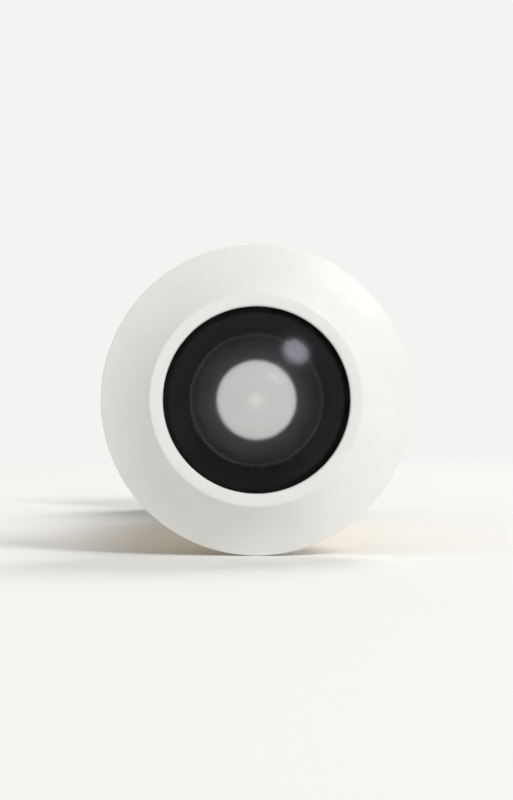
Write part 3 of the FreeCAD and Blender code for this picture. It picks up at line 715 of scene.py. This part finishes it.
def knurl_tree():
    """Geometry nodes that press straight V grooves into a rim, all round the optical axis."""
    tree = bpy.data.node_groups.new("straight knurl", "GeometryNodeTree")
    face = tree.interface
    face.new_socket("Geometry", in_out="OUTPUT", socket_type="NodeSocketGeometry")
    face.new_socket("Geometry", in_out="INPUT", socket_type="NodeSocketGeometry")
    for name in ("Rim radius", "Groove depth", "Groove width", "Grooves"):
        face.new_socket(name, in_out="INPUT", socket_type="NodeSocketFloat")
    face.new_socket("Finish", in_out="INPUT", socket_type="NodeSocketMaterial")
    sizes = add(tree, "NodeGroupInput").outputs

    def sum_of(operation, first, second=0.0, **settings):
        return add(tree, "ShaderNodeMath", {0: first, 1: second}, operation=operation, **settings).outputs[0]

    place = add(tree, "GeometryNodeInputPosition").outputs[0]
    parts = add(tree, "ShaderNodeSeparateXYZ", {0: place}).outputs
    angle = sum_of("ARCTAN2", parts["Z"], parts["X"])
    step = sum_of("DIVIDE", TURN, sizes["Grooves"])
    off_centre = sum_of("PINGPONG", angle, sum_of("DIVIDE", step, 2.0))
    apart = sum_of("MULTIPLY", off_centre, sizes["Rim radius"])
    share = sum_of("DIVIDE", apart, sum_of("DIVIDE", sizes["Groove width"], 2.0))
    bite = sum_of("SUBTRACT", 1.0, share, use_clamp=True)
    bottom = sum_of("SUBTRACT", sizes["Rim radius"], sum_of("MULTIPLY", bite, sizes["Groove depth"]))
    flat = add(tree, "ShaderNodeVectorMath", {0: place, 1: (1, 0, 1)}, operation="MULTIPLY")
    radius = add(tree, "ShaderNodeVectorMath", {0: flat.outputs[0]}, operation="LENGTH").outputs["Value"]
    scale = sum_of("DIVIDE", sum_of("MINIMUM", radius, bottom), radius)
    stretch = add(tree, "ShaderNodeCombineXYZ", {"X": scale, "Y": 1.0, "Z": scale})
    moved = add(tree, "ShaderNodeVectorMath", {0: place, 1: stretch.outputs[0]}, operation="MULTIPLY")
    pressed = add(
        tree, "GeometryNodeSetPosition", {"Geometry": sizes["Geometry"], "Position": moved.outputs[0]}
    )
    real = add(tree, "GeometryNodeRealizeInstances", {"Geometry": pressed.outputs[0]})
    on_rim = sum_of("GREATER_THAN", radius, sum_of("SUBTRACT", sizes["Rim radius"], sizes["Groove depth"]))
    coated = add(
        tree,
        "GeometryNodeSetMaterial",
        {"Geometry": real.outputs[0], "Selection": on_rim, "Material": sizes["Finish"]},
    )
    add(tree, "NodeGroupOutput", {0: coated.outputs[0]})
    return tree


def carve(piece, cutter):
    """Cuts a closed cutter out of a piece and removes the cutter."""
    modifier = piece.modifiers.new("cut", "BOOLEAN")
    modifier.operation = "DIFFERENCE"
    modifier.solver = "EXACT"
    modifier.object = cutter
    result = piece.evaluated_get(bpy.context.evaluated_depsgraph_get())
    mesh = bpy.data.meshes.new_from_object(result)
    piece.modifiers.clear()
    mesh.name = piece.name
    piece.data = mesh
    bpy.data.objects.remove(cutter)


def block(low, high):
    """A closed block between two corners, in millimetres, used as a cutter."""
    bm = bmesh.new()
    bmesh.ops.create_cube(bm, size=1.0)
    size = [(b - a) * MM for a, b in zip(low, high)]
    middle = [(a + b) / 2 * MM for a, b in zip(low, high)]
    bmesh.ops.transform(bm, matrix=Matrix.Translation(middle) @ Matrix.Diagonal((*size, 1)), verts=bm.verts)
    mesh = bpy.data.meshes.new("cutter")
    bm.to_mesh(mesh)
    bm.free()
    piece = bpy.data.objects.new("cutter", mesh)
    bpy.context.scene.collection.objects.link(piece)
    return piece


NICKEL = satin_nickel()
BRIGHT = polished_bore()

shank_r = 6.6
shank_length = 13.1
root_r = 5.35
crest_r = root_r + RIDGE_DEPTH
tube_r = 4.2
seat_r = extent("field_stop", "x")[1] + seat_gap
seat = extent("field_stop")[0]
eye_bevel = 0.6
face_gap = 0.02
tip_bevel = 0.3
knurl_r = 10.0
knurl_back = extent("slip_washer")[1] + face_gap
knurl_front = extent("inner_barrel")[1]
shank_front = knurl_back - shank_length
knurl_bevel = 0.5
grooves = 40
slot_width = 2.2
slot_depth = 1.0
slot_reach = seat_r + 2 * eye_bevel

# Rows across both bevels, so that the grooves run out where a knurling wheel would leave them.
row_step = 0.175 * knurl_bevel
rows = [row_step * step for step in range(1, 5)]
front_bevel = [(knurl_r - row, knurl_front - knurl_bevel + row) for row in rows]
back_bevel = [(knurl_r - row, knurl_back + knurl_bevel - row) for row in reversed(rows)]
outline = [
    (tube_r, tube_front, 0.08, 0),
    (root_r - tip_bevel, tube_front, 0.05, 0),
    (root_r, tube_front + tip_bevel, 0.0, 0),
    (root_r, shank_front, 0.0, 0),
    (shank_r - tip_bevel, shank_front, 0.08, 0),
    (shank_r, shank_front + tip_bevel, 0.08, 0),
    (shank_r, knurl_back, 0.0, 0),
    (knurl_r - knurl_bevel, knurl_back, 0.06, 0),
    *as_points(back_bevel),
    (knurl_r, knurl_back + knurl_bevel, 0.06, 0),
    (knurl_r, knurl_front - knurl_bevel, 0.06, 0),
    *as_points(front_bevel),
    (knurl_r - knurl_bevel, knurl_front, 0.06, 0),
    (seat_r + eye_bevel, knurl_front, 0.1, 0),
    (seat_r, knurl_front - eye_bevel, 0.08, 2),
    (seat_r, seat, 0.0, 2),
    (tube_r, seat, 0.0, 1),
]
inner_barrel = turned("inner_barrel_finished", outline, [NICKEL, BRIGHT, BORE_BLACK], 12 * grooves)
run_tree(
    inner_barrel,
    knurl_tree(),
    {
        "Rim radius": knurl_r * MM,
        "Groove depth": 0.35 * MM,
        "Groove width": 0.8 * MM,
        "Grooves": float(grooves),
        "Finish": NICKEL,
    },
)
for side in (-1, 1):
    reach = sorted((slot_reach * side, (knurl_r + 1) * side))
    low = (reach[0], knurl_front - slot_depth, -slot_width / 2)
    carve(inner_barrel, block(low, (reach[1], knurl_front + 1, slot_width / 2)))
thread_length = shank_front - tube_front - 2 * THREAD_END
cut_thread(inner_barrel, root_r, crest_r, tube_front + THREAD_END, thread_length, NICKEL)
stands_for(inner_barrel, "inner_barrel", "eyepiece_unit")


# Eyepiece: a black stop, the lens next to the eye and a black ring with two spanner slots that holds them in
# the seat of the inner barrel.

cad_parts["field_stop"].data.materials[0] = MOULDED
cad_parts["eyepiece_retainer"].data.materials[0] = RING_BLACK

eye_r = extent("eyepiece_lens", "x")[1]
eye_back, eye_top = extent("eyepiece_lens")
eye_edge = extent("eyepiece_retainer")[0]
eye_dome_r = eye_r - 0.4
eye_radius = 31.0
outline = [
    (0, eye_back, 0.0, 0),
    (eye_r, eye_back, 0.08, 0),
    (eye_r, eye_edge, 0.08, 0),
    (eye_dome_r, eye_edge, 0.0, 0),
]
outline += as_points(arc((eye_dome_r, eye_edge), (0, eye_top), -eye_radius, 32))
outline += [(0, eye_top, 0.0, 0)]
eyepiece_lens = turned("eyepiece_lens_finished", outline, [GLASS])
stands_for(eyepiece_lens, "eyepiece_lens", "eyepiece_unit")


# Cover: a pressed brass plate with a domed round and an ear, nickelled like the flange it lies on. It turns
# on a steel rivet between a nylon washer and a disc spring, and a steel pin in a notch of its ear stops it.

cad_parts["pivot_rivet"].data.materials[0] = STEEL
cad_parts["pivot_spring"].data.materials[0] = STEEL
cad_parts["cover_stop_pin"].data.materials[0] = STEEL
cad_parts["pivot_washer"].data.materials[0] = NYLON

pivot_z = 7.0
round_r = 5.4
ear_r = 2.8
notch_r = 1.95
swing_degrees = 92
swing_ease = 1.0
stop_pin_r = 0.4
stop_pin_reach = 2.45
half_notch = math.radians(swing_degrees / 2 + swing_ease) + math.asin(stop_pin_r / stop_pin_reach)
open_angle = math.radians(swing_degrees)
plate_back = extent("cover_flap")[0]
plate = 1.2
dome_rise = 0.7
dome_r = 4.5
edge_r = 0.22
lean = math.asin((round_r - ear_r) / pivot_z)


def cover_edge(angle):
    """Distance from the round's centre to the cover's edge. Angle 0 points at the pivot."""
    straight_from = math.pi / 2 - lean
    side = math.pi - abs(math.pi - angle % TURN)
    direction = Vector((math.sin(side), math.cos(side)))
    if side >= straight_from:
        return round_r

    def on_ring(radius):
        inner = pivot_z * direction.y
        return inner + math.sqrt(radius**2 - (pivot_z * direction.x) ** 2)

    wall = Vector((math.sin(half_notch), math.cos(half_notch)))
    touch = Vector((ear_r * math.cos(lean), pivot_z + ear_r * math.sin(lean)))
    notch_foot = wall * notch_r + Vector((0, pivot_z))
    notch_top = wall * ear_r + Vector((0, pivot_z))
    if side <= math.atan2(notch_foot.x, notch_foot.y):
        return on_ring(notch_r)
    if side <= math.atan2(notch_top.x, notch_top.y):
        # Where the ray from the round's centre meets the notch's straight wall.
        across = Vector((wall.y, -wall.x))
        return across.dot(Vector((0, pivot_z))) / across.dot(direction)
    if side <= math.atan2(touch.x, touch.y):
        return on_ring(ear_r)
    return round_r / math.sin(side + lean)


def cover_mesh(name, columns=360):
    """The open cover, from rings of points about the round's centre: front, rounded edge and back."""
    bm = bmesh.new()
    dome_curve = (dome_r**2 + dome_rise**2) / (2 * dome_rise)
    # The rings crowd together where the dome meets the flat rim.
    shares = [0.12 * i for i in range(1, 7)] + [0.79, 0.833, 0.87, 0.93]
    rows = []

    def ring(inset, height, share=1.0):
        row = []
        for column in range(columns):
            angle = TURN * column / columns
            reach = (cover_edge(angle) - inset) * share
            rise = height
            if share < 1.0:
                inside = min(reach, dome_r)
                rise += math.sqrt(dome_curve**2 - inside**2) - (dome_curve - dome_rise)
            point = Vector((reach * math.sin(angle), plate_back + rise, reach * math.cos(angle) - pivot_z))
            row.append(bm.verts.new(point * MM))
        rows.append(row)

    for share in shares:
        ring(edge_r, plate, share)
    ring(edge_r, plate)
    for step in range(1, 4):
        bend = step / 3 * math.pi / 2
        ring(edge_r * (1 - math.sin(bend)), plate - edge_r * (1 - math.cos(bend)))
    for step in range(4):
        bend = step / 3 * math.pi / 2
        ring(edge_r / 2 * (1 - math.cos(bend)), edge_r / 2 * (1 - math.sin(bend)))
    centre = bm.verts.new((0, (plate_back + plate + dome_rise) * MM, -pivot_z * MM))
    floor = bm.verts.new((0, plate_back * MM, -pivot_z * MM))
    for column in range(columns):
        after = (column + 1) % columns
        bm.faces.new((centre, rows[0][column], rows[0][after]))
        bm.faces.new((floor, rows[-1][after], rows[-1][column]))
        for row, other in zip(rows, rows[1:]):
            bm.faces.new((row[column], other[column], other[after], row[after]))
    swing = Matrix.Rotation(-open_angle, 4, "Y")
    bmesh.ops.transform(bm, matrix=Matrix.Translation((0, 0, pivot_z * MM)) @ swing, verts=bm.verts)
    bmesh.ops.recalc_face_normals(bm, faces=bm.faces)
    mesh = bpy.data.meshes.new(name)
    bm.to_mesh(mesh)
    bm.free()
    smooth(mesh, 40)
    return mesh


def pressed_nickel():
    """Nickel plate on pressed brass: the same tone as the flange, brushed straight rather than turned."""
    material, tree, shader, place = new_finish("brushed nickel plate")
    shader.inputs["Metallic"].default_value = 1.0
    tree.links.new(
        tint(tree, speckle(tree, place, 4.0, 2.0), "#BFBAB0", "#B3ADA2"), shader.inputs["Base Color"]
    )
    brushed = speckle(tree, place, 0.2, 1.0, (0.03, 1, 1))
    tree.links.new(spread(tree, brushed, 0.25, 0.36), shader.inputs["Roughness"])
    roughen(tree, shader, brushed, 0.004)
    return material


cover = bpy.data.objects.new("cover_flap_finished", cover_mesh("cover_flap_finished"))
cover.data.materials.append(pressed_nickel())
bpy.context.scene.collection.objects.link(cover)
stands_for(cover, "cover_flap", "cover_unit")


# Stage: the viewer lies on matt white paper, on the rims of its flange and its rosette. Further out the paper
# turns into the same even tone as the surround, so that no horizon shows. Its shadow stays.

PALE = "#F3F3F1"
MIDDLE = Vector((0, 35, 0))


def matt_paper():
    """Uncoated white paper: dead matt. Far out the eye sees one even tone, also in metal and glass."""
    material, tree, shader, place = new_finish("matt white paper")
    tree.links.new(
        tint(tree, speckle(tree, place, 60.0), "#F5F5F3", "#F2F2F0"), shader.inputs["Base Color"]
    )
    shader.inputs["Roughness"].default_value = 0.9
    even = add(tree, "ShaderNodeEmission", {"Color": linear(PALE)}).outputs[0]
    away = add(tree, "ShaderNodeVectorMath", {0: place, 1: MIDDLE}, operation="DISTANCE").outputs["Value"]
    # Plain paper up to 110 mm from the viewer's middle, the even tone alone from 420 mm.
    far = add(tree, "ShaderNodeMapRange", {"Value": away, "From Min": 110.0, "From Max": 420.0})
    far.interpolation_type = "SMOOTHSTEP"
    parts = {0: far.outputs["Result"], 1: seen_directly(tree)}
    share = add(tree, "ShaderNodeMath", parts, operation="MULTIPLY").outputs[0]
    mix = add(tree, "ShaderNodeMixShader", {0: share, 1: shader.outputs[0], 2: even})
    tree.links.new(mix.outputs[0], tree.nodes["Material Output"].inputs["Surface"])
    return material


def seen_directly(tree):
    """1 for what the eye sees, also reflected or through glass, 0 for light that falls on a surface."""
    ray = add(tree, "ShaderNodeLightPath").outputs
    seen = ray["Is Camera Ray"]
    for other in ("Is Glossy Ray", "Is Transmission Ray"):
        seen = add(tree, "ShaderNodeMath", {0: seen, 1: ray[other]}, operation="MAXIMUM").outputs[0]
    return seen


def sheet_of_paper(name, reach):
    """A flat sheet that touches both rims from below, reach metres to each side."""
    slope = (flange_r - rosette_r) / (rosette_back - flange_back)
    level = -(flange_r + face_gap) * MM - slope * flange_back * MM
    mesh = bpy.data.meshes.new(name)
    sides = ((-reach, -reach), (reach, -reach), (reach, reach), (-reach, reach))
    mesh.from_pydata([(x, y, level + slope * y) for x, y in sides], [], [(0, 1, 2, 3)])
    mesh.materials.append(matt_paper())
    sheet = bpy.data.objects.new(name, mesh)
    bpy.context.scene.collection.objects.link(sheet)
    return sheet


sheet_of_paper("white_paper", 4.0)


# Light: a wide soft light from the upper right in front, a weaker box above the room side, and an even pale
# surround, which is seen about twice as bright as it lights.


def aim(lamp, place):
    """Puts a lamp at a place and turns it to the viewer's middle."""
    holder = bpy.data.objects.new(lamp.name, lamp)
    holder.location = place
    holder.rotation_euler = (MIDDLE * MM - Vector(place)).to_track_quat("-Z", "Y").to_euler()
    bpy.context.scene.collection.objects.link(holder)


key = bpy.data.lights.new("key_soft_box", "AREA")
key.shape = "DISK"
key.size = 0.38
key.energy = 5.6
aim(key, (0.55, -0.66, 0.68))

rear = bpy.data.lights.new("room_soft_box", "AREA")
rear.shape = "SQUARE"
rear.size = 0.35
rear.energy = 2.4
aim(rear, (0.30, 0.48, 0.62))

world = bpy.data.worlds.new("pale surround")
bpy.context.scene.world = world
world.use_nodes = True
tree = world.node_tree
surround = tree.nodes["Background"]
surround.inputs["Color"].default_value = linear(PALE)
level = add(tree, "ShaderNodeMapRange", {"Value": seen_directly(tree), "To Min": 0.53, "To Max": 1.0})
tree.links.new(level.outputs["Result"], surround.inputs["Strength"])


# Camera: straight in front of the flange, level with its axis, close enough for the flange to hide what is
# behind it, as the door does.

LENS = 80.0
lens_distance = 123.0
camera_data = bpy.data.cameras.new("camera")
camera_data.lens = LENS
camera_data.clip_start = 0.01
camera_data.clip_end = 20.0
camera = bpy.data.objects.new("camera", camera_data)
camera.location = (0, (lip_front - lens_distance) * MM, 0)
camera.rotation_euler = (math.pi / 2, 0, 0)
bpy.context.scene.collection.objects.link(camera)
bpy.context.scene.camera = camera

scene = bpy.context.scene
scene.view_settings.view_transform = "Standard"
scene.cycles.max_bounces = 32
scene.cycles.transmission_bounces = 24
scene.cycles.glossy_bounces = 16
scene.cycles.diffuse_bounces = 4
scene.cycles.use_denoising = True
